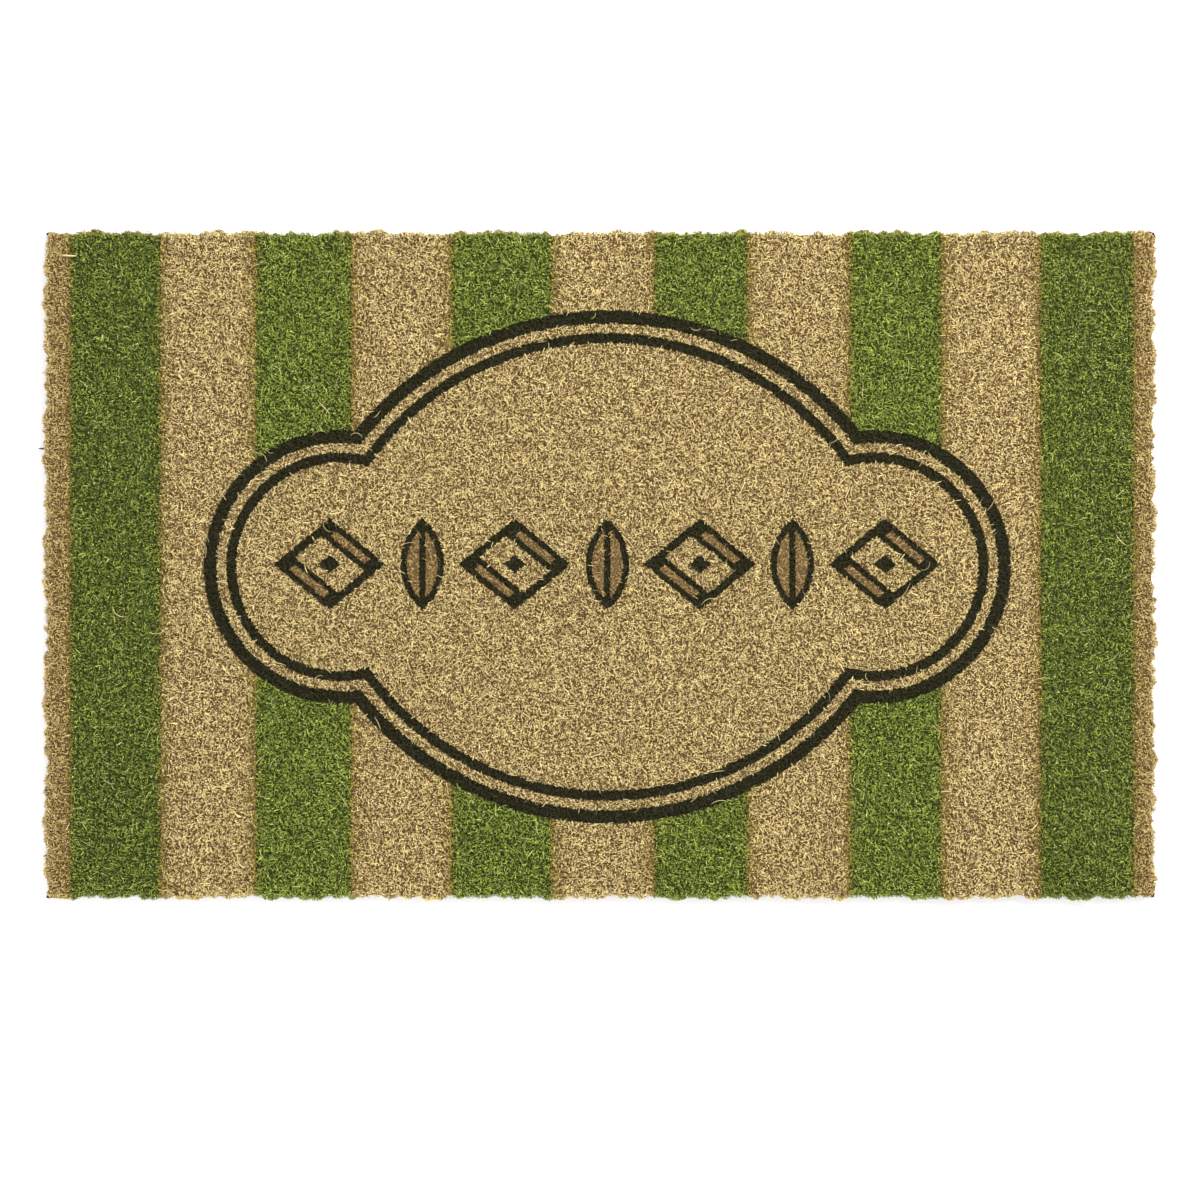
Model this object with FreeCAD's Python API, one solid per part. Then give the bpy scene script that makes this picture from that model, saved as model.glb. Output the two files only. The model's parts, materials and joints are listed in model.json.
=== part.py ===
import FreeCAD, Part
import os

# A tufted coir door mat on a vinyl backing, in millimetres.
# The origin is under the middle of the mat: X runs along its length, Y across it, and Z up.
# The pile is cut tufts set in the backing. Each block below is one group of tufts of one dye,
# and it meets its neighbours face to face.

# Whole mat
mat_length = 762.0
mat_width = 457.2
backing_thickness = 4.0
pile_height = 12.0          # tuft length that stands out of the backing
dark_pile_drop = 1.0        # the dark dye mats its tufts down by this much
inlay_pile_drop = 0.5       # the brown dye mats its tufts down by this much

# Green stripes, evenly pitched about the middle of the mat
stripe_count = 6
stripe_pitch = 133.4
stripe_width = 65.0
stripe_slips = [1.0, -3.3, -0.8, 2.5, 2.8, 0.6]      # how far each stripe landed from its place
stripe_gains = [-3.0, 1.2, 4.2, -0.6, -2.0, -0.6]    # how much wider each stripe came out

# Plaque: the overlap of two large discs, with a round lobe at each end
plaque_x = 5.0
plaque_y = -1.3
sweep_radius = 223.0
sweep_offset = 47.0         # each large disc's centre, below or above the plaque's own
lobe_radius = 94.0
lobe_offset = 183.0         # each lobe's centre, left or right of the plaque's own
outer_line_width = 9.0
gap_band_width = 6.5
inner_line_width = 7.0

# Frieze along the middle of the plaque: lozenges with a leaf between each two
lozenge_count = 4
frieze_rise = 1.8           # the frieze's middle, above the plaque's own
frieze_height = 63.0
lozenge_width = 77.0
leaf_width = 30.0
frieze_gap = 10.0           # between a lozenge's tip and the leaf beside it
broad_stroke = 13.0         # a lozenge's two broad sides
fine_stroke = 5.5           # its two fine sides
inlay_width = 5.0           # brown strip along the middle of a broad side
inlay_end_wall = 4.0        # dark pile left between that strip's end and the fine side
leaf_wall = 4.5             # dark pile round a leaf's brown inlays
leaf_midrib = 4.5           # dark pile between them, from tip to tip
stud_reach = 5.0            # a lozenge's dark stud, from its middle to its sides

# Worked out
half_length = mat_length / 2
half_width = mat_width / 2
dark_height = pile_height - dark_pile_drop
inlay_height = pile_height - inlay_pile_drop
inner_line_inset = outer_line_width + gap_band_width
field_inset = inner_line_inset + inner_line_width
frieze_y = plaque_y + frieze_rise
frieze_pitch = lozenge_width + leaf_width + 2 * frieze_gap
half_lozenge = lozenge_width / 2
half_frieze = frieze_height / 2
lozenge_side = (half_lozenge ** 2 + half_frieze ** 2) ** 0.5
lozenge_reach = half_lozenge * half_frieze / lozenge_side    # from its middle to its sides
leaf_radius = (half_frieze ** 2 + (leaf_width / 2) ** 2) / leaf_width


def point(x, y):
    """A point on the top of the backing."""
    return FreeCAD.Vector(x, y, backing_thickness)


def block(low_x, low_y, high_x, high_y, height=pile_height):
    """A straight-sided block of pile."""
    return Part.makeBox(high_x - low_x, high_y - low_y, height, point(low_x, low_y))


def disc(x, y, radius, height=pile_height):
    """A round block of pile."""
    return Part.makeCylinder(radius, height, point(x, y))


def prism(corners, height=pile_height):
    """A block of pile with straight sides between the corners."""
    outline = Part.makePolygon([point(x, y) for x, y in corners + corners[:1]])
    return Part.Face(outline).extrude(FreeCAD.Vector(0, 0, height))


def one_solid(shape):
    """The only solid of a shape, without seams left between joined faces."""
    return shape.removeSplitter().Solids[0]


def plaque(inset, height=pile_height):
    """The plaque's block of pile, taken in evenly all round by inset."""
    sweep = sweep_radius - inset
    lobe = lobe_radius - inset
    lower_disc = disc(plaque_x, plaque_y - sweep_offset, sweep, height)
    upper_disc = disc(plaque_x, plaque_y + sweep_offset, sweep, height)
    left_lobe = disc(plaque_x - lobe_offset, plaque_y, lobe, height)
    right_lobe = disc(plaque_x + lobe_offset, plaque_y, lobe, height)
    body = lower_disc.common(upper_disc)
    return one_solid(body.fuse([left_lobe, right_lobe]))


def backing():
    """The vinyl sheet that holds the tufts."""
    corner = FreeCAD.Vector(-half_length, -half_width, 0)
    return Part.makeBox(mat_length, mat_width, backing_thickness, corner)


def stripe_sides():
    """Each green stripe's left and right side."""
    sides = []
    for i in range(stripe_count):
        middle = (i - (stripe_count - 1) / 2) * stripe_pitch + stripe_slips[i]
        half = (stripe_width + stripe_gains[i]) / 2
        sides.append((middle - half, middle + half))
    return sides


def strip_nodes(name, left, right):
    """The strip's pile outside the plaque: one block, or a back one and a front one."""
    strip = block(left, -half_width, right, half_width).cut(plaque(0))
    pieces = sorted(strip.Solids, key=lambda piece: -piece.CenterOfMass.y)
    if len(pieces) == 1:
        return {name: pieces[0]}
    return {name + "_back": pieces[0], name + "_front": pieces[1]}


def ground():
    """The striped pile round the plaque."""
    sides = stripe_sides()
    nodes = {}
    nodes.update(strip_nodes("natural_margin_left", -half_length, sides[0][0]))
    nodes.update(strip_nodes("natural_margin_right", sides[-1][1], half_length))
    for i, (left, right) in enumerate(sides):
        nodes.update(strip_nodes(f"green_stripe_{i + 1}", left, right))
    for i in range(stripe_count - 1):
        nodes.update(strip_nodes(f"natural_stripe_{i + 1}", sides[i][1], sides[i + 1][0]))
    return nodes


def plaque_lines():
    """The two dark lines round the plaque, and the natural band between them."""
    outer = plaque(0, dark_height).cut(plaque(outer_line_width))
    band = plaque(outer_line_width).cut(plaque(inner_line_inset))
    inner = plaque(inner_line_inset, dark_height).cut(plaque(field_inset))
    return {
        "plaque_outer_line": outer.Solids[0],
        "plaque_band": band.Solids[0],
        "plaque_inner_line": inner.Solids[0],
    }


def place_in_lozenge(x, to_broad, to_fine):
    """The point this far from a lozenge's middle towards its broad and its fine sides."""
    along = lozenge_side * (to_broad - to_fine) / (2 * half_frieze)
    up = lozenge_side * (to_broad + to_fine) / (2 * half_lozenge)
    return (x + along, frieze_y + up)


def slab(x, broad_sides, fine_sides, height):
    """A block of pile between two places each way inside a lozenge."""
    low_broad, high_broad = broad_sides
    low_fine, high_fine = fine_sides
    corners = [
        place_in_lozenge(x, low_broad, low_fine),
        place_in_lozenge(x, high_broad, low_fine),
        place_in_lozenge(x, high_broad, high_fine),
        place_in_lozenge(x, low_broad, high_fine),
    ]
    return prism(corners, height)


def lozenge(x, broad_inset=0.0, fine_inset=0.0, height=pile_height):
    """A lozenge of pile whose broad and fine sides are taken in by these insets."""
    broad = lozenge_reach - broad_inset
    fine = lozenge_reach - fine_inset
    return slab(x, (-broad, broad), (-fine, fine), height)


def lozenge_nodes(number, x):
    """One lozenge: its dark ring, brown inlays, natural ground and dark stud."""
    inlay_middle = lozenge_reach - broad_stroke / 2
    inlay_sides = (inlay_middle - inlay_width / 2, inlay_middle + inlay_width / 2)
    inlay_length = lozenge_reach - fine_stroke - inlay_end_wall
    inlay_ends = (-inlay_length, inlay_length)
    upper_inlay = slab(x, inlay_sides, inlay_ends, inlay_height)
    lower_inlay = upper_inlay.copy()
    lower_inlay.rotate(FreeCAD.Vector(x, frieze_y, 0), FreeCAD.Vector(0, 0, 1), 180)
    stud_sides = (-stud_reach, stud_reach)
    stud = slab(x, stud_sides, stud_sides, dark_height)
    opening = lozenge(x, broad_stroke, fine_stroke)
    ring = lozenge(x, height=dark_height).cut([opening, upper_inlay, lower_inlay])
    stud_seat = slab(x, stud_sides, stud_sides, pile_height)
    return {
        f"lozenge_ring_{number}": ring.Solids[0],
        f"lozenge_inlay_{number}_upper": upper_inlay,
        f"lozenge_inlay_{number}_lower": lower_inlay,
        f"lozenge_ground_{number}": opening.cut(stud_seat).Solids[0],
        f"lozenge_stud_{number}": stud,
    }


def leaf(x, inset=0.0, height=pile_height):
    """An upright leaf: the overlap of two discs."""
    radius = leaf_radius - inset
    off = leaf_radius - leaf_width / 2
    return disc(x - off, frieze_y, radius, height).common(disc(x + off, frieze_y, radius, height))


def leaf_nodes(number, x):
    """One leaf: its dark ring and midrib, and a brown inlay on each side of the midrib."""
    inlay_low = frieze_y - half_frieze
    inlay_high = frieze_y + half_frieze
    inlay_shape = leaf(x, leaf_wall, inlay_height)
    left_side = block(x - leaf_width / 2, inlay_low, x - leaf_midrib / 2, inlay_high)
    right_side = block(x + leaf_midrib / 2, inlay_low, x + leaf_width / 2, inlay_high)
    left_inlay = inlay_shape.common(left_side).Solids[0]
    right_inlay = inlay_shape.common(right_side).Solids[0]
    ring = leaf(x, height=dark_height).cut([left_inlay, right_inlay])
    return {
        f"leaf_ring_{number}": ring.Solids[0],
        f"leaf_inlay_{number}_left": left_inlay,
        f"leaf_inlay_{number}_right": right_inlay,
    }


def plaque_middle():
    """The plaque's natural field, with the frieze set in it."""
    first_x = plaque_x - frieze_pitch * (lozenge_count - 1) / 2
    nodes = {}
    motifs = []
    for i in range(lozenge_count):
        x = first_x + i * frieze_pitch
        motifs.append(lozenge(x))
        nodes.update(lozenge_nodes(i + 1, x))
    for i in range(lozenge_count - 1):
        x = first_x + (i + 0.5) * frieze_pitch
        motifs.append(leaf(x))
        nodes.update(leaf_nodes(i + 1, x))
    nodes["plaque_field"] = plaque(field_inset).cut(motifs).Solids[0]
    return nodes


nodes = {"backing_sheet": backing()}
nodes.update(ground())
nodes.update(plaque_lines())
nodes.update(plaque_middle())
os.makedirs("parts", exist_ok=True)
for name, shape in nodes.items():
    shape.exportStep(f"parts/{name}.step")
print(len(nodes), "nodes")
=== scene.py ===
"""A tufted coir door mat: cut coconut fibre standing in a vinyl backing, with green stripes, a
lobed plaque between two dark lines, and a frieze of lozenges and leaves. Laid out as an add-on,
and run as a script. All lengths are in metres."""

import collections
import functools
import json
import math

import bpy
import numpy as np
from bpy.props import FloatProperty, FloatVectorProperty, IntProperty, PointerProperty
from mathutils.bvhtree import BVHTree
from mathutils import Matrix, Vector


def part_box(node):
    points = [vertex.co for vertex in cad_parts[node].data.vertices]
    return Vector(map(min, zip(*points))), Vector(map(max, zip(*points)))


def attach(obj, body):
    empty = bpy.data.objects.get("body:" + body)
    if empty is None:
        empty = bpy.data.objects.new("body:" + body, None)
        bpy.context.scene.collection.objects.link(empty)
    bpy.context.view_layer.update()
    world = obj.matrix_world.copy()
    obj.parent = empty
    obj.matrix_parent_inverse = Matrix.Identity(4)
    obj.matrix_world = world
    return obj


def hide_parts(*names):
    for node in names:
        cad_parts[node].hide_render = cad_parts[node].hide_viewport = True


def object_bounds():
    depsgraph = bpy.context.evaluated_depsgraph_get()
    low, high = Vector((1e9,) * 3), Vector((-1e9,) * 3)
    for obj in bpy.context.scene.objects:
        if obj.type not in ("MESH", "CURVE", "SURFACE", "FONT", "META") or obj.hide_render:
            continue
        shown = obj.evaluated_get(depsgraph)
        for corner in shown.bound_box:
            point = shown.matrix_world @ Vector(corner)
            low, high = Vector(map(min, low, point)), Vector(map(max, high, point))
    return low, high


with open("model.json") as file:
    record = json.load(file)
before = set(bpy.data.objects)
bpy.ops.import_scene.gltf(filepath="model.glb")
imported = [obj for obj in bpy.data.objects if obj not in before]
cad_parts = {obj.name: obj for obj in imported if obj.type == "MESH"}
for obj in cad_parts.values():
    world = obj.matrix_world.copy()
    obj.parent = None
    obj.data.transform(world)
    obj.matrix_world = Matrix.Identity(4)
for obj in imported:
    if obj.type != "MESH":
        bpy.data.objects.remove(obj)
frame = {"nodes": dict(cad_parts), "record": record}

bl_info = {
    "name": "Coir Door Mat",
    "version": (1, 0, 0),
    "blender": (4, 5, 0),
    "location": "View3D > Sidebar > Door Mat",
    "description": "Dresses a door mat's CAD frame in coir tufts and vinyl",
    "category": "Add Mesh",
}

MM = 0.001
BODY = "root"
CAD_BOX = [list(corner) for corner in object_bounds()]
SLOT_OF = {part["node"]: part["material_slot"] for part in frame["record"]["subparts"]}
BACKING_NODE = "backing_sheet"
PILE_NODES = sorted(name for name in SLOT_OF if name != BACKING_NODE)
NATURAL = "natural_coir"
GREEN = "green_coir"
DARK = "dark_coir"
BROWN = "brown_coir"
VINYL = "vinyl_backing"
OUTER_NAMES = ("natural_margin", "natural_stripe", "green_stripe")
LOW, HIGH = (np.array(corner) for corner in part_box(BACKING_NODE))
HALF = (HIGH - LOW)[:2] / 2
PILE_FOOT = float(HIGH[2])
PILE_TOP = CAD_BOX[1][2]

# A piece has few enough strands for each to have its own room on the piece's colour map.
STRANDS_PER_PIECE = 6000
STRANDS_PER_SHORT_PIECE = 1500
SHORT_PIECE = 0.2 * 2 * float(HALF[0])

# How far in from the mat's edge its lumps move the strands' roots, their tips and the backing.
ROOT_EDGE = 9 * MM
TIP_EDGE = 11 * MM
BACKING_EDGE = 12 * MM

RIM_INSETS = (0.3 * MM, 1.1 * MM, 2.0 * MM, 2.9 * MM)    # from the mat's edge to its close rows
FOOT_INSET = 2.6 * MM       # from the mat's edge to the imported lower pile
RIM_LEAN = 0.3              # how much of the usual lean the strands along the rim have
STRAND_TURN = 2.4           # angle from one strand's corners to the next one's
ASLANT = (0.31, 0.17, 0.94)     # a direction that no strand follows
FLOOR_HALF = 14.0


# ------------------------------------------------------------------ sizes and colours

def length(name, description, default, low=0.0):
    """A length that a user can change."""
    return FloatProperty(
        name=name, description=description, default=default, min=low, unit="LENGTH", precision=5
    )


def tint(name, description, default):
    """A colour that a user can change."""
    return FloatVectorProperty(
        name=name, description=description, default=default, size=3, min=0, max=1, subtype="COLOR"
    )


class PileSettings(bpy.types.PropertyGroup):
    """Sizes of the cut coir pile."""

    spacing: length("Spacing", "From one strand's root to the next", 0.84 * MM, 0.4 * MM)
    width: length("Width", "Usual width of a strand", 0.56 * MM, 0.1 * MM)
    reach: length("Reach", "How far a strand's tip usually leans from its root", 2.0 * MM)
    close_reach: length("Close reach", "The same inside the plaque, which is trimmed", 1.9 * MM)
    root_depth: length("Root depth", "How far below the cut top a strand starts", 5.5 * MM)
    clump: length("Clump", "From one clump of strands to the next", 6.6 * MM, 2 * MM)
    clump_drop: length("Clump drop", "How much lower strands are between clumps", 0.7 * MM)
    splay: length("Splay", "How far a clump's outer strands lean outwards", 0.8 * MM)
    ragged: length("Ragged edge", "How far the edge's lumps stand out or in", 1.5 * MM)
    corner: length("Corner", "Radius to which the pile's corners have worn", 8.0 * MM)
    foot_depth: length("Foot depth", "From the cut top to the packed lower pile", 4.0 * MM)
    stain_reach: length("Stain reach", "How far green has wicked into undyed pile", 4.2 * MM)
    dye_depth: length("Dye depth", "How far down the dye has soaked", 4.0 * MM)
    curly_share: FloatProperty(name="Curly", description="Share that curl", default=0.07)
    strays: IntProperty(name="Strays", description="Long loose strands", default=240, min=0)


class DyeSettings(bpy.types.PropertyGroup):
    """Colours of the coir and of its dyes."""

    pale: tint("Pale coir", "Lightest undyed strands", (0.88, 0.77, 0.45))
    straw: tint("Straw coir", "Most undyed strands", (0.72, 0.575, 0.255))
    bark: tint("Bark coir", "Darkest undyed strands", (0.21, 0.13, 0.05))
    leaf_green: tint("Green", "Most green strands", (0.275, 0.335, 0.043))
    light_green: tint("Light green", "Lightest green strands", (0.66, 0.74, 0.25))
    deep_green: tint("Deep green", "Darkest green strands", (0.055, 0.075, 0.014))
    rind: tint("Rind", "Undyed strands weathered at the mat's ends", (0.32, 0.17, 0.02))
    ochre: tint("Ochre", "Undyed strands stained by the green beside them", (0.40, 0.31, 0.055))
    ink: tint("Ink", "Dark lines", (0.028, 0.026, 0.006))
    toast: tint("Toast", "Inlays in the frieze", (0.50, 0.33, 0.13))


class BackingSettings(bpy.types.PropertyGroup):
    """Sizes and colours of the vinyl backing."""

    cell: length("Cell", "Size of the mesh's cells", 3.0 * MM, 1 * MM)
    inset: length("Inset", "How far its edge is inside the pile's, except at corners", 1.1 * MM)
    corner: length("Corner", "How far it stands out at the mat's corners", 0.8 * MM)
    pebble: length("Pebble", "Height of the grain pressed into the underside", 0.12 * MM)
    vinyl: tint("Vinyl", "Colour of the backing", (0.035, 0.035, 0.038))


class StageSettings(bpy.types.PropertyGroup):
    """The floor, lights and camera."""

    floor: tint("Floor", "Colour of the floor", (0.93, 0.93, 0.93))
    view_width: length("View width", "Width of floor that the camera takes in", 822.5 * MM, 0.1)
    view_drop: length("View drop", "How far the view's middle is in front of the mat's", 24 * MM)
    lens: FloatProperty(name="Lens", description="Focal length in millimetres", default=110)
    key: FloatProperty(name="Key light", description="Power of the large lamp", default=95.0)
    sky: FloatProperty(name="Sky", description="Strength of the light all round", default=1.0)


# ------------------------------------------------------------------ materials

class Number:
    """A number's socket in a material. Arithmetic on it adds Math nodes."""

    def __init__(self, finish, socket):
        self.finish = finish
        self.socket = socket

    def maths(self, operation, *values):
        """A Math node's result for these values."""
        inputs = dict(enumerate(values))
        return self.finish.number("ShaderNodeMath", {"operation": operation}, inputs)

    def __add__(self, other):
        return self.maths("ADD", self, other)

    def __radd__(self, other):
        return self.maths("ADD", other, self)

    def __sub__(self, other):
        return self.maths("SUBTRACT", self, other)

    def __rsub__(self, other):
        return self.maths("SUBTRACT", other, self)

    def __mul__(self, other):
        return self.maths("MULTIPLY", self, other)

    def __rmul__(self, other):
        return self.maths("MULTIPLY", other, self)

    def __pow__(self, other):
        return self.maths("POWER", self, other)

    def __rpow__(self, other):
        return self.maths("POWER", other, self)

    def step(self, low, high):
        """0 below low, 1 above high, and smooth between them."""
        return self.finish.number(
            "ShaderNodeMapRange",
            {"interpolation_type": "SMOOTHSTEP"},
            {"Value": self, "From Min": low, "From Max": high},
        )


class Finish:
    """A material and the means to add nodes to it."""

    def __init__(self, name):
        self.material = bpy.data.materials.new(name)
        self.material.use_nodes = True
        self.tree = self.material.node_tree
        self.tree.nodes.clear()

    def add(self, kind, settings=None, inputs=None):
        """Adds a node: its type, then its settings, then its sockets' values or links."""
        node = self.tree.nodes.new(kind)
        for key, value in (settings or {}).items():
            if key == "stops":
                self.set_stops(node.color_ramp, value)
            else:
                setattr(node, key, value)
        for key, value in (inputs or {}).items():
            socket = node.inputs[key]
            source = getattr(value, "socket", value)
            if isinstance(source, bpy.types.NodeSocket):
                self.tree.links.new(source, socket)
            elif socket.type == "RGBA":
                socket.default_value = (*source, 1.0)
            else:
                socket.default_value = source
        return node

    @staticmethod
    def set_stops(ramp, stops):
        """Gives a colour ramp these (place, colour) stops."""
        while len(ramp.elements) < len(stops):
            ramp.elements.new(0.5)
        for element, (place, colour) in zip(ramp.elements, stops):
            element.position = place
            element.color = (*colour, 1.0)

    def number(self, kind, settings=None, inputs=None, output=0):
        """The same, giving one of the node's outputs as a number."""
        return Number(self, self.add(kind, settings, inputs).outputs[output])

    def place(self):
        """The point in the mat's own frame."""
        return self.add("ShaderNodeTexCoord").outputs["Object"]

    def along(self, axis):
        """Where the point is along X, Y or Z."""
        parts = self.add("ShaderNodeSeparateXYZ", inputs={0: self.place()})
        return Number(self, parts.outputs[axis])

    def offset(self, axis):
        """How far the point is from the mat's middle along X or Y."""
        signed = self.along(axis)
        return signed.maths("ABSOLUTE", signed)

    def strand(self):
        """A random number from 0 to 1 for each strand."""
        return self.number("ShaderNodeNewGeometry", output="Random Per Island")

    def noise(self, scale, detail=2.0, roughness=0.5):
        """Soft noise from 0 to 1, with this many swells to a metre."""
        inputs = {"Vector": self.place(), "Scale": scale, "Detail": detail, "Roughness": roughness}
        return self.number("ShaderNodeTexNoise", {"noise_dimensions": "3D"}, inputs)

    def ramp(self, value, stops):
        """The colour that a colour ramp gives for the value."""
        return self.add("ShaderNodeValToRGB", {"stops": stops}, {0: value}).outputs["Color"]

    def mix(self, share, first, second):
        """first where share is 0, and second where it is 1."""
        inputs = {0: share, 6: first, 7: second}    # 6 and 7 are the node's two colours
        return self.add("ShaderNodeMix", {"data_type": "RGBA"}, inputs).outputs[2]

    def bump(self, height, strength, distance):
        """The normal of a surface that stands up by this height."""
        inputs = {"Height": height, "Strength": strength, "Distance": distance}
        return self.add("ShaderNodeBump", inputs=inputs).outputs["Normal"]

    def surface(self, **inputs):
        """Ends the material in a Principled shader with these sockets."""
        sockets = {name.replace("_", " "): value for name, value in inputs.items()}
        shader = self.add("ShaderNodeBsdfPrincipled", inputs=sockets)
        self.add("ShaderNodeOutputMaterial", inputs={"Surface": shader.outputs[0]})
        return self.material


def shade(colour, factor):
    """A colour made lighter or darker."""
    return tuple(min(1.0, channel * factor) for channel in colour)


def undyed(finish, dyes):
    """The colour of undyed coir: it varies from strand to strand and from clump to clump, with
    painted shade in small pits.
    """
    stops = [
        (0.0, shade(dyes.bark, 0.7)),
        (0.20, shade(dyes.straw, 0.62)),
        (0.42, shade(dyes.straw, 1.1)),
        (0.85, shade(dyes.straw, 1.25)),
        (1.0, dyes.pale),
    ]
    strands = finish.ramp(finish.strand(), stops)
    clumps = finish.noise(130.0).step(0.52, 0.75) * 0.12
    # Painted shade: small dark spots on the strands stand in for shaded pits in the pile.
    painted_pits = finish.noise(380.0).step(0.65, 0.69) * 0.5
    sides = finish.offset("X").step(0.3625, 0.372)
    return finish.mix(sides * 0.34, finish.mix(clumps + painted_pits, strands, dyes.bark), dyes.rind)


def dyed(finish, dyes, stops, depth):
    """Dyed strands: undyed below the dye's depth, darker at the mat's ends, thin at its back."""
    ends = finish.offset("X").step(0.22, 0.30)
    strands = finish.ramp(finish.strand() ** (1.0 + 0.65 * ends), stops)
    back = finish.along("Y").step(float(HALF[1]) - 5 * MM, float(HALF[1]))
    thin = back * finish.noise(120.0).step(0.35, 0.65) * 0.7
    strands = finish.mix(thin, strands, dyes.ochre)
    wicked = finish.along("Z") + finish.noise(160.0) * (2.4 * MM)
    soaked = wicked.step(PILE_TOP - depth, PILE_TOP - depth + 2.2 * MM)
    return finish.mix(soaked, undyed(finish, dyes), strands)


def coir_finish(name, colour_of):
    """A coir material. Its colour is made by colour_of, and painted shade darkens it down into the
    pile.
    """
    finish = Finish(name)
    painted_depth_shade = 1.0 - finish.along("Z").step(PILE_TOP - 5.5 * MM, PILE_TOP - 1.2 * MM)
    colour = colour_of(finish)
    return finish.surface(
        # Painted shade: the strands' colour goes up to halfway to black down into the pile, where
        # neighbours shade them.
        Base_Color=finish.mix(painted_depth_shade * 0.5, colour, (0.0, 0.0, 0.0)),
        Roughness=0.5,
        Specular_IOR_Level=0.45,
    )


def coir_finishes(dyes, pile):
    """The materials of each dye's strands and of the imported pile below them."""
    depth = pile.dye_depth
    green = [
        (0.0, dyes.deep_green),
        (0.35, shade(dyes.leaf_green, 0.68)),
        (0.65, shade(dyes.leaf_green, 1.1)),
        (0.88, shade(dyes.leaf_green, 1.65)),
        (1.0, dyes.light_green),
    ]
    ink = [(0.0, shade(dyes.ink, 0.6)), (0.85, dyes.ink), (1.0, shade(dyes.ink, 2.2))]
    toast = [
        (0.0, shade(dyes.toast, 0.12)),
        (0.3, shade(dyes.toast, 0.5)),
        (0.7, dyes.toast),
        (1.0, shade(dyes.toast, 1.6)),
    ]
    ochre = [(0.0, shade(dyes.ochre, 0.5)), (0.6, dyes.ochre), (1.0, shade(dyes.ochre, 1.4))]
    stray = [(0.0, shade(dyes.straw, 0.5)), (1.0, shade(dyes.straw, 0.95))]
    return {
        NATURAL: coir_finish("undyed_coir", lambda made: undyed(made, dyes)),
        GREEN: coir_finish("green_coir", lambda made: dyed(made, dyes, green, depth)),
        DARK: coir_finish("inked_coir", lambda made: dyed(made, dyes, ink, depth * 1.4)),
        BROWN: coir_finish("toasted_coir", lambda made: dyed(made, dyes, toast, depth)),
        "stained": coir_finish("ochre_coir", lambda made: dyed(made, dyes, ochre, depth)),
        "stray": coir_finish("loose_coir", lambda made: made.ramp(made.strand(), stray)),
        # Painted shade: the lower pile takes each dye's darkest colour, as it looks in the gaps
        # under the strands.
        NATURAL + "_foot": foot_finish("packed_undyed_coir", dyes.bark),
        GREEN + "_foot": foot_finish("packed_green_coir", dyes.deep_green),
        DARK + "_foot": foot_finish("packed_inked_coir", dyes.ink),
        BROWN + "_foot": foot_finish("packed_toasted_coir", shade(dyes.toast, 0.6)),
    }


def floor_finish(stage):
    """A pale, faintly uneven studio floor."""
    finish = Finish("studio_floor")
    patches = finish.noise(1.3)
    colour = finish.mix(patches * 0.4, stage.floor, shade(stage.floor, 0.985))
    return finish.surface(Base_Color=colour, Roughness=0.85, Specular_IOR_Level=0.2)


def vinyl_finish(backing):
    """Dark matt vinyl with a fine pebbled grain."""
    finish = Finish("dark_vinyl")
    grain = finish.noise(900.0, 3.0, 0.6)
    dust = finish.noise(35.0).step(0.45, 0.8)
    colour = finish.mix(dust * 0.35, backing.vinyl, shade(backing.vinyl, 2.2))
    return finish.surface(
        Base_Color=finish.mix(grain * 0.3, colour, shade(backing.vinyl, 0.5)),
        Roughness=0.5 + 0.25 * grain,
        Normal=finish.bump(grain, 0.35, 0.3 * MM),
    )


def foot_finish(name, colour):
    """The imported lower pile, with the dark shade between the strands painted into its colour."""
    finish = Finish(name)
    strands = finish.noise(1300.0, 3.0, 0.7)
    # Painted shade: the ramp runs from a fifth of the colour, as in shaded gaps, up to the colour
    # itself.
    stops = [(0.35, shade(colour, 0.2)), (0.55, shade(colour, 0.6)), (0.75, colour)]
    return finish.surface(
        Base_Color=finish.ramp(strands, stops),
        Roughness=0.9,
        Specular_IOR_Level=0.1,
    )


# ------------------------------------------------------------------ planting the pile

# A clump's middle and number for each point, how far out in it the point is from 0 to 1, and how
# many clumps there are.
Clumps = collections.namedtuple("Clumps", "middle number out count")
# Each strand's path and width, the number of its CAD block, and whether it is stained.
Strands = collections.namedtuple("Strands", "paths widths block stain")
PileSizes = collections.namedtuple(
    "PileSizes",
    "spacing width reach close_reach root_depth clump clump_drop splay ragged corner stain_reach "
    "curly_share",
)


@functools.cache
def pile_map():
    """The tops of all the CAD blocks of pile as one tree, and the block of each of its faces."""
    corners, faces, owners = [], [], []
    for number, name in enumerate(PILE_NODES):
        mesh = frame["nodes"][name].data
        start = len(corners)
        corners.extend(vertex.co.copy() for vertex in mesh.vertices)
        for face in mesh.polygons:
            if face.normal.z > 0.9:
                faces.append([start + index for index in face.vertices])
                owners.append(number)
    return BVHTree.FromPolygons(corners, faces), owners


def blocks_under(points):
    """The number of the block of pile below each point, which may be a little off the mat."""
    tree, owners = pile_map()
    inside = np.clip(points, -HALF + 0.05 * MM, HALF - 0.05 * MM)
    found = np.zeros(len(points), int)
    for i, (x, y) in enumerate(inside.tolist()):
        face = tree.ray_cast((x, y, 1.0), (0, 0, -1))[2]
        if face is None:
            face = tree.find_nearest((x, y, PILE_TOP))[2]
        found[i] = owners[face]
    return found


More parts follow.
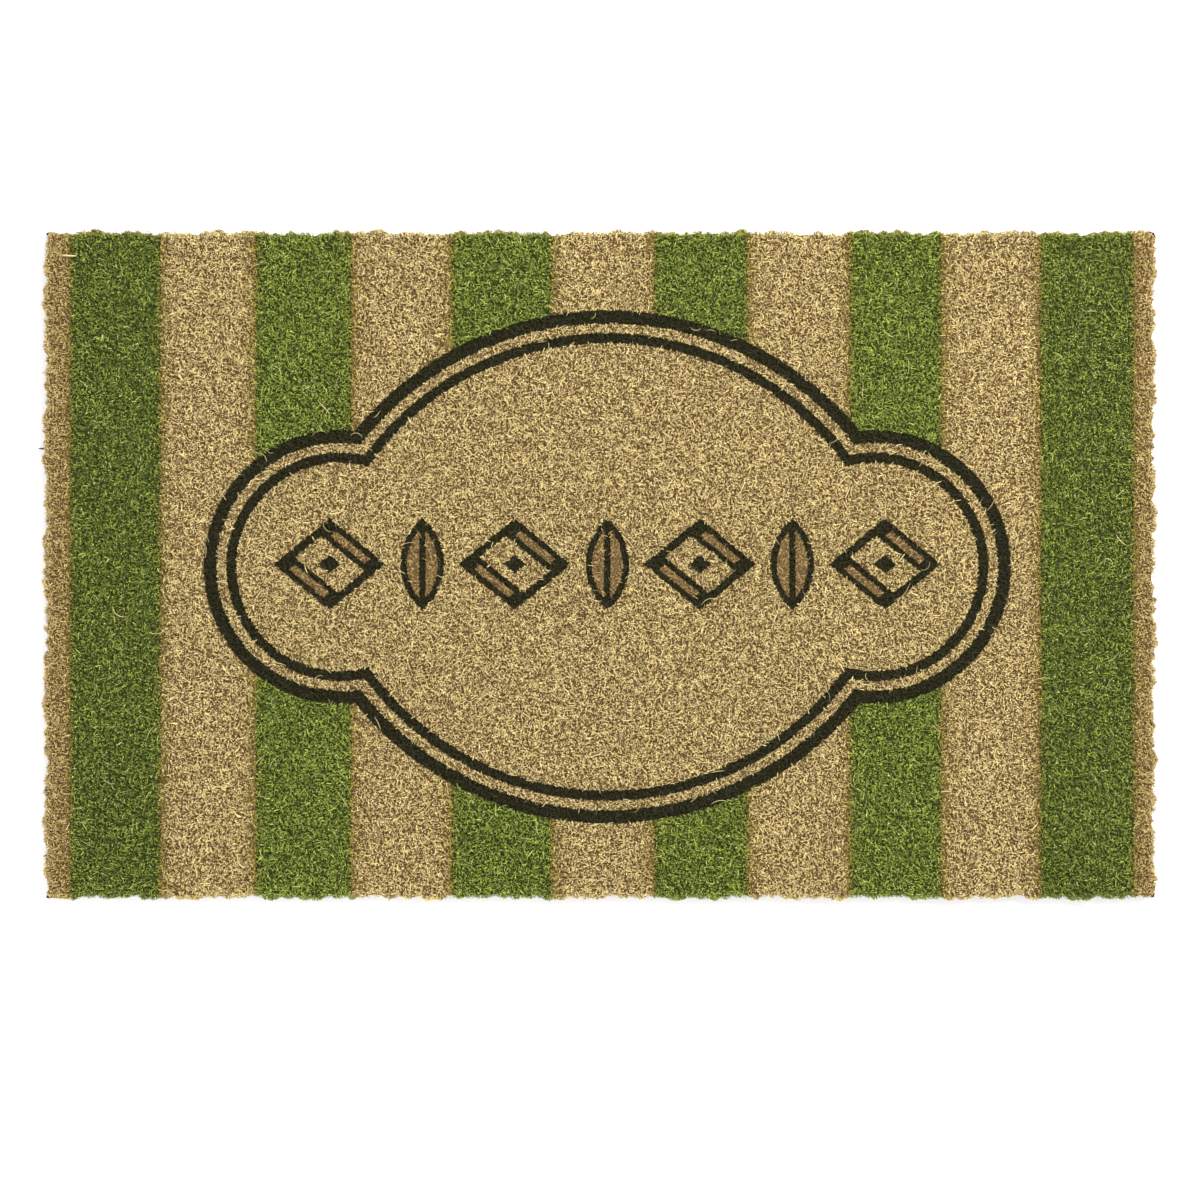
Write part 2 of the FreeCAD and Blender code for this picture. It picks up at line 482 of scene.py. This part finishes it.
def clumps_of(points, pitch):
    """The clump that each point is in, by the nearest clump's middle."""
    rng = np.random.default_rng(7)
    border = 3 * pitch
    cells = np.ceil(2 * (HALF + border) / pitch).astype(int)
    origin = -HALF - border
    middles = rng.uniform(0.12, 0.88, (cells[0], cells[1], 2))
    middles += np.stack(np.meshgrid(*map(np.arange, cells), indexing="ij"), axis=-1)
    middles = origin + middles * pitch
    cell = np.floor((points - origin) / pitch).astype(int)
    nearest = np.full(len(points), np.inf)
    second = np.full(len(points), np.inf)
    number = np.zeros(len(points), int)
    for step_x in (-1, 0, 1):
        for step_y in (-1, 0, 1):
            near = np.clip(cell + (step_x, step_y), 0, cells - 1)
            gap = np.linalg.norm(points - middles[near[:, 0], near[:, 1]], axis=1)
            closer = gap < nearest
            second = np.where(closer, nearest, np.minimum(second, gap))
            number = np.where(closer, near[:, 0] * cells[1] + near[:, 1], number)
            nearest = np.where(closer, gap, nearest)
    out = np.clip(2 * nearest / (nearest + second), 0, 1)
    return Clumps(middles.reshape(-1, 2)[number], number, out, cells[0] * cells[1])


def lattice(spacing, rng):
    """Jittered rows of roots over the whole mat."""
    counts = np.round(2 * HALF / spacing).astype(int)
    grid = np.stack(np.meshgrid(*map(np.arange, counts), indexing="ij"), axis=-1).reshape(-1, 2)
    return (grid + rng.uniform(0.2, 0.8, grid.shape)) / counts * 2 * HALF - HALF


def rim_roots(spacing, rng):
    """Close rows of roots just inside the mat's edge, for its flanks."""
    sides = []
    for axis in (0, 1):
        count = int(2 * HALF[axis] / spacing)
        for end in (-1, 1):
            for inset in RIM_INSETS:
                row = np.zeros((count, 2))
                row[:, axis] = rng.uniform(-1, 1, count) * (HALF[axis] - RIM_INSETS[0])
                row[:, 1 - axis] = end * (HALF[1 - axis] - inset - rng.uniform(0, 0.9 * MM, count))
                sides.append(row)
    return np.concatenate(sides)


def edge_lumps(along, side, ragged):
    """How far the pile's lumpy edge stands out, at places along one side of the mat."""
    wander = 2.6 * np.sin(along * 47 + side * 0.7) + 1.4 * np.sin(along * 131 + side)
    small = np.sin(along * 560 + wander + side * 2.1)
    middling = np.sin(along * 227 + side * 4.4)
    large = np.sin(along * 71 + side * 1.7)
    return ragged * (0.1 + 0.40 * small + 0.45 * middling + 0.40 * large)


def shaped_edge(points, edge, ragged, corner):
    """Moves points near the mat's edge with its lumps, and rounds the corners."""
    moved = points.copy()
    for axis in (0, 1):
        out = np.abs(points[:, axis])
        share = np.clip(1 - (HALF[axis] - out) / edge, 0, 1.3)
        side = 1 + axis + 2 * (points[:, axis] > 0)
        lumps = edge_lumps(points[:, 1 - axis], side, ragged)
        moved[:, axis] += np.sign(points[:, axis]) * share * lumps
    past = np.abs(moved) - (HALF - corner)
    gap = np.linalg.norm(past, axis=1)
    cut = (past.min(axis=1) > 0) & (gap > corner)
    pulled = np.sign(moved) * (HALF - corner + past * (corner / np.maximum(gap, MM))[:, None])
    return np.where(cut[:, None], pulled, moved)


def stained(points, block, reach, rng):
    """Which strands are ochre: undyed ones that took up some green, and green ones beside them."""
    greens = [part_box(name) for name in PILE_NODES if SLOT_OF[name] == GREEN]
    borders = np.array([corner.x for box in greens for corner in box])
    gap = np.abs(points[:, :1] - borders).min(axis=1)
    plain = np.array([name.startswith(("natural_margin", "natural_stripe")) for name in PILE_NODES])
    green = np.array([SLOT_OF[name] == GREEN for name in PILE_NODES])
    reach = np.where(green[block], 0.3 * reach, reach)
    taken = rng.uniform(0, 1, len(points)) < np.exp(-gap / reach)
    return (plain | green)[block] & taken


def sown(pile, rng):
    """Where the strands are rooted, and which of them are along the rim."""
    main = lattice(pile.spacing, rng)
    between_clumps = clumps_of(main, pile.clump).out > 0.9
    main = main[~between_clumps | (rng.uniform(0, 1, len(main)) < 0.5)]
    rim = rim_roots(pile.spacing * 0.42, rng)
    roots = shaped_edge(np.concatenate([main, rim]), ROOT_EDGE, 0.8 * pile.ragged, pile.corner)
    return roots, np.arange(len(roots)) >= len(main)


def leaned(roots, on_rim, clumps, pile, rng):
    """Where the strands' tips are, as seen from above."""
    turn = rng.uniform(0, 2 * math.pi, len(roots))
    trimmed = np.array([not name.startswith(OUTER_NAMES) for name in PILE_NODES])
    reach = np.where(trimmed[blocks_under(roots)], pile.close_reach, pile.reach)
    evenness = 4.0
    run = reach * rng.gamma(evenness, 1 / evenness, len(roots))
    run[on_rim] *= RIM_LEAN
    lean = np.column_stack([np.cos(turn), np.sin(turn)]) * run[:, None]
    lean += (roots - clumps.middle) / (pile.clump / 2) * pile.splay
    clump_lean = 0.4 * MM
    lean += rng.normal(0, clump_lean, (clumps.count, 2))[clumps.number]
    limit = HALF + rng.uniform(-0.4, 0.5, (len(roots), 1)) * MM
    tips = np.clip(roots + lean, -limit, limit)
    return shaped_edge(tips, TIP_EDGE, pile.ragged, pile.corner)


def grown(tips, block, on_rim, clumps, pile, rng):
    """How high the strands' tips stand: lower between clumps and at the worn edge."""
    clump_unevenness = 0.2 * MM
    strand_unevenness = 0.45 * MM
    worn_edge = 6 * MM
    worn_drop = 0.8 * MM
    rim_drop = 5.0 * MM
    proud = 0.9 * MM
    tops = np.array([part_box(name)[1].z for name in PILE_NODES])
    height = tops[block] - pile.clump_drop * clumps.out ** 2
    height += rng.normal(0, clump_unevenness, clumps.count)[clumps.number]
    height += rng.normal(0, strand_unevenness, len(tips))
    near_edge = np.clip(1 - (HALF - np.abs(tips)) / worn_edge, 0, 1).max(axis=1)
    height -= near_edge ** 2 * worn_drop
    height[on_rim] -= rng.uniform(0, 1, on_rim.sum()) ** 2.5 * rim_drop
    return np.minimum(height, PILE_TOP + proud)


@functools.lru_cache(maxsize=1)
def planted(pile):
    """Every strand of the pile: straight ones, those along the rim, and curly ones."""
    rng = np.random.default_rng(1830)
    roots, on_rim = sown(pile, rng)
    clumps = clumps_of(roots, pile.clump)
    tips = leaned(roots, on_rim, clumps, pile, rng)
    over = roots + (tips - roots) * 0.75
    block = blocks_under(over)
    height = grown(tips, block, on_rim, clumps, pile, rng)
    foot = np.where(on_rim, PILE_FOOT, height - pile.root_depth)
    foot = np.maximum(foot, PILE_FOOT + 0.1 * MM)
    stain = stained(over, block, pile.stain_reach, rng)
    width = pile.width * rng.lognormal(0, 0.25, len(roots))
    curly = (rng.uniform(0, 1, len(roots)) < pile.curly_share) & ~on_rim
    upright = curve(roots, tips, foot, height, np.zeros(len(roots)), 2)
    strands = Strands(upright, width, block, stain)
    sway = rng.normal(0, 1.1 * MM, len(roots))
    far_tips = np.clip(tips + (tips - roots) * 0.7, -HALF, HALF)
    curved = curve(roots, far_tips, foot, height + 0.3 * MM, sway, 4)
    curled = Strands(curved, width * 0.75, block, stain)
    return pick(strands, ~curly & ~on_rim), pick(strands, on_rim), pick(curled, curly)


def curve(roots, tips, foot, height, sway, points):
    """Paths from roots up to tips, swaying sideways and flattening out towards their tips."""
    share = np.linspace(0, 1, points)
    lean = tips - roots
    side = np.column_stack([-lean[:, 1], lean[:, 0]])
    side /= np.maximum(np.linalg.norm(side, axis=1), 0.1 * MM)[:, None]
    level = roots[:, None] + lean[:, None] * share[:, None]
    level = level + side[:, None] * (np.sin(share * math.pi * 1.4) * sway[:, None])[:, :, None]
    rise = np.sin(share * math.pi / 2) if points > 2 else share
    upright = foot[:, None] + (height - foot)[:, None] * rise
    return np.concatenate([level, upright[:, :, None]], axis=2)


def planting(pile):
    """The strands for these pile settings."""
    return planted(PileSizes(*(getattr(pile, key) for key in PileSizes._fields)))


# ------------------------------------------------------------------ meshes

def place(obj, slot, *nodes):
    """Puts a finished piece on the mat, and hides the CAD blocks that it stands for."""
    bpy.context.scene.collection.objects.link(obj)
    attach(obj, BODY)
    if nodes:
        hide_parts(*nodes)
    return obj


def mesh_of(name, corners, faces, face_slots=None):
    """A mesh from an array of corners and arrays of faces with three or four corners each."""
    mesh = bpy.data.meshes.new(name)
    loops = np.concatenate([group.ravel() for group in faces]).astype(np.int32)
    sizes = np.concatenate([np.full(len(group), group.shape[1]) for group in faces])
    starts = np.concatenate([[0], np.cumsum(sizes)[:-1]]).astype(np.int32)
    mesh.vertices.add(len(corners))
    mesh.vertices.foreach_set("co", np.asarray(corners, np.float32).ravel())
    mesh.loops.add(len(loops))
    mesh.loops.foreach_set("vertex_index", loops)
    mesh.polygons.add(len(sizes))
    mesh.polygons.foreach_set("loop_start", starts)
    if face_slots is not None:
        mesh.polygons.foreach_set("material_index", face_slots.astype(np.int32))
    mesh.update(calc_edges=True)
    mesh.shade_smooth()
    return mesh


def unit(vectors):
    """The vectors, each made one unit long."""
    return vectors / np.maximum(np.linalg.norm(vectors, axis=-1, keepdims=True), 1e-9)


def rings(paths, widths, sides=3):
    """The corners of a ring round each point of each path."""
    along = unit(np.gradient(paths, axis=1))
    across = unit(np.cross(along, ASLANT))
    over = np.cross(along, across)
    turns = np.arange(len(paths)) * STRAND_TURN
    angles = turns[:, None] + np.arange(sides) * 2 * math.pi / sides
    angles = angles[:, None, :, None]
    ways = across[:, :, None] * np.cos(angles) + over[:, :, None] * np.sin(angles)
    return paths[:, :, None] + ways * widths[:, :, None, None] / 2


def tubes(paths, widths):
    """Corners, walls and ends of closed three-sided tubes, one for each path."""
    corners = rings(paths, widths)
    index = np.arange(corners[..., 0].size).reshape(corners.shape[:3])
    ahead = np.roll(index, -1, axis=2)
    walls = np.stack([index[:, :-1], ahead[:, :-1], ahead[:, 1:], index[:, 1:]], axis=-1)
    ends = np.stack([index[:, 0, ::-1], index[:, -1]], axis=1)
    return corners.reshape(-1, 3), [walls.reshape(-1, 4), ends.reshape(-1, 3)]


def splinters(paths, widths):
    """Corners and faces of straight strands: blunt at the cut end, and a point at the root."""
    tips = rings(paths, widths)[:, 1]
    corners = np.concatenate([paths[:, :1], tips], axis=1)
    faces = np.array([[1, 2, 0], [2, 3, 0], [3, 1, 0], [3, 2, 1]])
    starts = np.arange(len(paths))[:, None, None] * 4
    return corners.reshape(-1, 3), [(starts + faces).reshape(-1, 3)]


def make_foot(name, top, finish):
    """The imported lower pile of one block: its CAD outline, up to this height."""
    block = frame["nodes"][name].data
    block.calc_loop_triangles()
    corners = np.array([vertex.co for vertex in block.vertices])
    limit = HALF - FOOT_INSET
    corners[:, :2] = np.clip(corners[:, :2], -limit, limit)
    corners[:, 2] = np.where(corners[:, 2] > PILE_FOOT + 1 * MM, top, PILE_FOOT)
    faces = np.array([triangle.vertices for triangle in block.loop_triangles])
    mesh = mesh_of(f"{name}_packed", corners, [faces])
    mesh.shade_flat()
    mesh.materials.append(finish)
    place(bpy.data.objects.new(mesh.name, mesh), SLOT_OF[name], name)


def tuft_mesh(name, groups):
    """Strands with blunt ends: straight ones, those along the rim, and curly ones."""
    corners, faces, slots = [], [], []
    start = 0
    for strands, build in zip(groups, (splinters, tubes, tubes)):
        if not len(strands.paths):
            continue
        points = strands.paths.shape[1]
        taper = np.interp(np.linspace(0, 1, points), (0, 0.5, 1), (0.95, 1.0, 0.75))
        made, face_groups = build(strands.paths, strands.widths[:, None] * taper)
        for group in face_groups:
            faces.append(group + start)
            slots.append(np.repeat(strands.stain, len(group) // len(strands.stain)))
        corners.append(made)
        start += len(made)
    return mesh_of(name, np.concatenate(corners), faces, np.concatenate(slots))


def pick(strands, chosen):
    """Only the chosen strands."""
    return Strands(*(part[chosen] for part in strands))


def strips(groups):
    """A block's strands in strips as long as the block, none with too many strands."""
    roots = groups[0].paths[:, 0]
    short = np.ptp(roots, axis=0).max() < SHORT_PIECE
    count = math.ceil(len(roots) / (STRANDS_PER_SHORT_PIECE if short else STRANDS_PER_PIECE))
    axis = int(np.ptp(roots[:, 1]) < np.ptp(roots[:, 0]))
    cuts = np.quantile(roots[:, axis], np.linspace(0, 1, count + 1)[1:-1])
    shares = [np.searchsorted(cuts, strands.paths[:, 0, axis]) for strands in groups]
    return [
        [pick(strands, share == i) for strands, share in zip(groups, shares)]
        for i in range(count)
    ]


def make_tufts(slot, finishes, pile):
    """The tufts and packed lower pile of each CAD block of this dye."""
    for number, name in enumerate(PILE_NODES):
        if SLOT_OF[name] != slot:
            continue
        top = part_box(name)[1].z - pile.foot_depth
        make_foot(name, top, finishes[slot + "_foot"])
        groups = [pick(strands, strands.block == number) for strands in planting(pile)]
        if not len(groups[0].paths):
            raise RuntimeError(f"no strands stand on {name}")
        pieces = strips(groups)
        for i, piece in enumerate(pieces):
            suffix = f"_{i + 1}" if len(pieces) > 1 else ""
            mesh = tuft_mesh(f"{name}_tufts{suffix}", piece)
            mesh.materials.append(finishes[slot])
            mesh.materials.append(finishes["stained"])
            place(bpy.data.objects.new(mesh.name, mesh), slot, name)


def grid(half, cell):
    """Evenly spaced points over the mat, and how many there are each way."""
    counts = np.round(2 * half / cell).astype(int) + 1
    across = [np.linspace(-half[k], half[k], counts[k]) for k in (0, 1)]
    return np.stack(np.meshgrid(*across, indexing="ij"), axis=-1), counts


def cells(index):
    """The four-sided faces between the corners of a grid."""
    corners = (index[:-1, :-1], index[1:, :-1], index[1:, 1:], index[:-1, 1:])
    return np.stack(corners, axis=-1).reshape(-1, 4)


def slab_mesh(name, top, bottom):
    """A closed slab between two grids of points with the same number each way."""
    columns, rows = top.shape[:2]
    count = columns * rows
    index = np.arange(count).reshape(columns, rows)
    rim = np.concatenate([index[:-1, 0], index[-1, :-1], index[:0:-1, -1], index[0, :0:-1]])
    ahead = np.roll(rim, -1)
    wall = np.stack([rim, rim + count, ahead + count, ahead], axis=1)[:, ::-1]
    faces = [cells(index), cells(index)[:, ::-1] + count, wall]
    corners = np.concatenate([top.reshape(-1, 3), bottom.reshape(-1, 3)])
    return mesh_of(name, corners, faces)


def make_backing(finish, backing, pile):
    """The vinyl sheet, with an edge that wanders as the pile's does and a pebbled underside."""
    rng = np.random.default_rng(5)
    plan, counts = grid(HALF, backing.cell)
    flat = plan.reshape(-1, 2)
    near_side = np.clip(1 - (HALF - np.abs(flat)) / BACKING_EDGE, 0, 1)
    near_end = near_side[:, ::-1]
    flat = shaped_edge(flat, BACKING_EDGE, 0.85 * pile.ragged, 1 * MM)
    move = backing.corner * near_end - backing.inset * (1 - near_end)
    flat = flat + np.sign(flat) * near_side * move
    low = float(LOW[2]) + backing.pebble * rng.uniform(0, 1, len(flat))
    top = np.column_stack([flat, np.full(len(flat), PILE_FOOT)]).reshape(*counts, 3)
    bottom = np.column_stack([flat, low]).reshape(*counts, 3)
    mesh = slab_mesh("vinyl_backing_sheet", top, bottom)
    mesh.materials.append(finish)
    obj = place(bpy.data.objects.new(mesh.name, mesh), VINYL, BACKING_NODE)


def make_burr(finish):
    """A thread of vinyl that the knife left on the backing's left edge."""
    across = -HALF[0] + np.array([3.0, 0.5, -2.0, -4.2, -5.6]) * MM
    along = HALF[1] * 0.35 + np.array([0.2, 0.1, 0.0, 0.1, 0.3]) * MM
    upright = PILE_FOOT - 0.5 * MM + np.array([0.0, 0.3, 0.6, 0.5, 0.2]) * MM
    path = np.column_stack([across, along, upright])[None]
    widths = np.array([[1.6, 1.5, 1.5, 1.4, 0.8]]) * MM
    mesh = mesh_of("backing_burr", *tubes(path, widths))
    mesh.materials.append(finish)
    place(bpy.data.objects.new(mesh.name, mesh), VINYL)


def loose_strand(start, heading, long, curl, lift, points=7):
    """The path of a loose strand that lies over the cut top and curls one way."""
    turns = heading + curl * np.linspace(-0.5, 0.5, points - 1)
    steps = np.column_stack([np.cos(turns), np.sin(turns)]) * long / (points - 1)
    level = start + np.concatenate([np.zeros((1, 2)), np.cumsum(steps, axis=0)])
    upright = PILE_TOP - 0.6 * MM + lift * np.sin(np.linspace(0, math.pi, points))
    return np.column_stack([level, upright])


def make_strays(finishes, pile):
    """Long loose strands, with one thick straw and one thin one near the back edge."""
    rng = np.random.default_rng(42)
    paths = [
        loose_strand(np.array([-0.3695, 0.2125]), -0.05, 11 * MM, 0.1, 0.9 * MM),
        loose_strand(np.array([-0.1165, 0.2185]), 0.9, 9 * MM, 0.3, 0.9 * MM),
    ]
    widths = [1.5 * MM, 0.6 * MM]
    for _ in range(pile.strays):
        start = rng.uniform(-1, 1, 2) * (HALF - 14 * MM)
        long = rng.uniform(5, 14) * MM
        curl = rng.uniform(-2.0, 2.0)
        lift = rng.uniform(0.6, 1.5) * MM
        paths.append(loose_strand(start, rng.uniform(0, 6.3), long, curl, lift))
        widths.append(rng.uniform(0.28, 0.46) * MM)
    taper = np.interp(np.linspace(0, 1, 7), (0, 0.2, 0.8, 1), (0.5, 1.0, 1.0, 0.4))
    mesh = mesh_of("stray_strands", *tubes(np.array(paths), np.array(widths)[:, None] * taper))
    mesh.materials.append(finishes["stray"])
    place(bpy.data.objects.new(mesh.name, mesh), NATURAL)


def make_lamp(name, spot, size, power, colour):
    """A square soft lamp that points at the mat."""
    lamp = bpy.data.lights.new(name, "AREA")
    lamp.size = size
    lamp.energy = power
    lamp.color = colour
    obj = bpy.data.objects.new(name, lamp)
    obj.location = spot
    obj.rotation_euler = (-obj.location).to_track_quat("-Z", "Y").to_euler()
    bpy.context.scene.collection.objects.link(obj)


def make_stage(stage):
    """The floor, the lights and the camera above the mat."""
    scene = bpy.context.scene
    plan, counts = grid(np.array([FLOOR_HALF, FLOOR_HALF]), 2.0)
    floor_points = np.column_stack([plan.reshape(-1, 2), np.zeros(counts.prod())])
    index = np.arange(counts.prod()).reshape(counts)
    mesh = mesh_of("studio_floor", floor_points, [cells(index)])
    mesh.materials.append(floor_finish(stage))
    floor = bpy.data.objects.new("studio_floor", mesh)
    scene.collection.objects.link(floor)
    make_lamp("soft_key", (1.0, 1.1, 2.3), 0.7, stage.key, (1.0, 0.985, 0.96))
    make_lamp("soft_fill", (-1.2, -1.1, 2.5), 1.8, stage.key * 0.4, (0.97, 0.985, 1.0))
    world = bpy.data.worlds.new("studio_air")
    world.use_nodes = True
    air = world.node_tree.nodes["Background"]
    air.inputs["Color"].default_value = (1.0, 1.0, 1.0, 1.0)
    air.inputs["Strength"].default_value = stage.sky
    scene.world = world
    scene.view_settings.view_transform = "Standard"
    camera = bpy.data.cameras.new("camera")
    camera.lens = stage.lens
    obj = bpy.data.objects.new("camera", camera)
    distance = stage.view_width * camera.lens / camera.sensor_width
    obj.location = (0, -stage.view_drop, PILE_TOP + distance)
    camera.clip_end = 50
    scene.collection.objects.link(obj)
    scene.camera = obj


# ------------------------------------------------------------------ operators and panel

@functools.cache
def mat_finishes():
    """The coir materials, made once."""
    mat = bpy.context.scene.door_mat
    return coir_finishes(mat.dyes, mat.pile)


class DoorMatSettings(bpy.types.PropertyGroup):
    """Everything that a user can change about the mat."""

    pile: PointerProperty(type=PileSettings)
    dyes: PointerProperty(type=DyeSettings)
    backing: PointerProperty(type=BackingSettings)
    stage: PointerProperty(type=StageSettings)


class DOORMAT_OT_stage(bpy.types.Operator):
    """Set out the floor, the lights and the camera"""

    bl_idname = "doormat.stage"
    bl_label = "Stage"

    def execute(self, context):
        make_stage(context.scene.door_mat.stage)
        return {"FINISHED"}


class DOORMAT_OT_backing(bpy.types.Operator):
    """Cut the vinyl backing sheet"""

    bl_idname = "doormat.backing"
    bl_label = "Vinyl backing"

    def execute(self, context):
        backing = context.scene.door_mat.backing
        finish = vinyl_finish(backing)
        make_backing(finish, backing, context.scene.door_mat.pile)
        make_burr(finish)
        return {"FINISHED"}


class TuftsOperator:
    """What the operators for each dye's tufts share."""

    def execute(self, context):
        make_tufts(self.slot, mat_finishes(), context.scene.door_mat.pile)
        return {"FINISHED"}


class DOORMAT_OT_natural_tufts(TuftsOperator, bpy.types.Operator):
    """Plant the undyed tufts of the margins, stripes, band and field"""

    bl_idname = "doormat.natural_tufts"
    bl_label = "Undyed tufts"
    slot = NATURAL


class DOORMAT_OT_green_tufts(TuftsOperator, bpy.types.Operator):
    """Plant the tufts of the green stripes"""

    bl_idname = "doormat.green_tufts"
    bl_label = "Green tufts"
    slot = GREEN


class DOORMAT_OT_dark_tufts(TuftsOperator, bpy.types.Operator):
    """Plant the dark tufts of the plaque's lines and of the frieze"""

    bl_idname = "doormat.dark_tufts"
    bl_label = "Dark tufts"
    slot = DARK


class DOORMAT_OT_brown_tufts(TuftsOperator, bpy.types.Operator):
    """Plant the brown tufts inlaid in the frieze"""

    bl_idname = "doormat.brown_tufts"
    bl_label = "Brown tufts"
    slot = BROWN


class DOORMAT_OT_strays(bpy.types.Operator):
    """Scatter the long loose strands over the pile"""

    bl_idname = "doormat.strays"
    bl_label = "Stray strands"

    def execute(self, context):
        make_strays(mat_finishes(), context.scene.door_mat.pile)
        return {"FINISHED"}


OPERATORS = (
    DOORMAT_OT_stage,
    DOORMAT_OT_backing,
    DOORMAT_OT_natural_tufts,
    DOORMAT_OT_green_tufts,
    DOORMAT_OT_dark_tufts,
    DOORMAT_OT_brown_tufts,
    DOORMAT_OT_strays,
)


class DOORMAT_PT_panel(bpy.types.Panel):
    """Lists the mat's pieces in the 3D view's sidebar"""

    bl_idname = "DOORMAT_PT_panel"
    bl_label = "Door Mat"
    bl_space_type = "VIEW_3D"
    bl_region_type = "UI"
    bl_category = "Door Mat"

    def draw(self, context):
        for operator in OPERATORS:
            self.layout.operator(operator.bl_idname)


CLASSES = (
    PileSettings,
    DyeSettings,
    BackingSettings,
    StageSettings,
    DoorMatSettings,
    *OPERATORS,
    DOORMAT_PT_panel,
)


def register():
    for made in CLASSES:
        bpy.utils.register_class(made)
    bpy.types.Scene.door_mat = PointerProperty(type=DoorMatSettings)


def unregister():
    del bpy.types.Scene.door_mat
    for made in reversed(CLASSES):
        bpy.utils.unregister_class(made)


def main():
    register()
    bpy.ops.doormat.stage()
    bpy.ops.doormat.backing()
    bpy.ops.doormat.natural_tufts()
    bpy.ops.doormat.green_tufts()
    bpy.ops.doormat.dark_tufts()
    bpy.ops.doormat.brown_tufts()
    bpy.ops.doormat.strays()
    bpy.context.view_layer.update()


if __name__ == "__main__":
    main()
